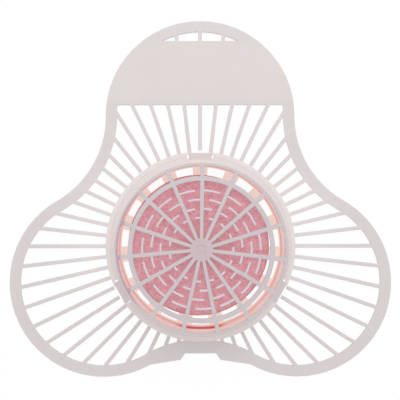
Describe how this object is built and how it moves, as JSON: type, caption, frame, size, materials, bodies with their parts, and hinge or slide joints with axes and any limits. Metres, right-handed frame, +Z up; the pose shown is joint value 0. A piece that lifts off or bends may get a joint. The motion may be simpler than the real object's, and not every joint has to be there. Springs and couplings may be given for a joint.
{
  "type": "urinal deodorizer screen",
  "caption": "Flat three-lobed ribbed plastic screen with a round clip-in cage in its middle that holds a pressed pink scent block, laid in a urinal's bowl over the drain.",
  "frame": {"origin": "on the cage's axis, at the underside of the mat's floor, which lies on the bowl", "axes": "+Z up out of the cage's grille, +Y towards the lobe with the bare panel, +X to the right of it, so that the notched tab is on the -Y side"},
  "size_m": [0.2026, 0.1887, 0.025],
  "materials": {
    "mat_plastic": "soft translucent off-white moulded plastic, warm and slightly pink, low sheen",
    "lid_plastic": "translucent off-white moulded plastic, slightly cooler, stained peach and red inside by the block's dye",
    "scent_block": "pressed pink powder, finely grained and mottled, dull"
  },
  "bodies": {
    "root": {"screen_mat": "mat_plastic", "cage_lid": "lid_plastic", "cage_grille": "lid_plastic", "deodorizer_block": "scent_block"}
  },
  "joints": []
}
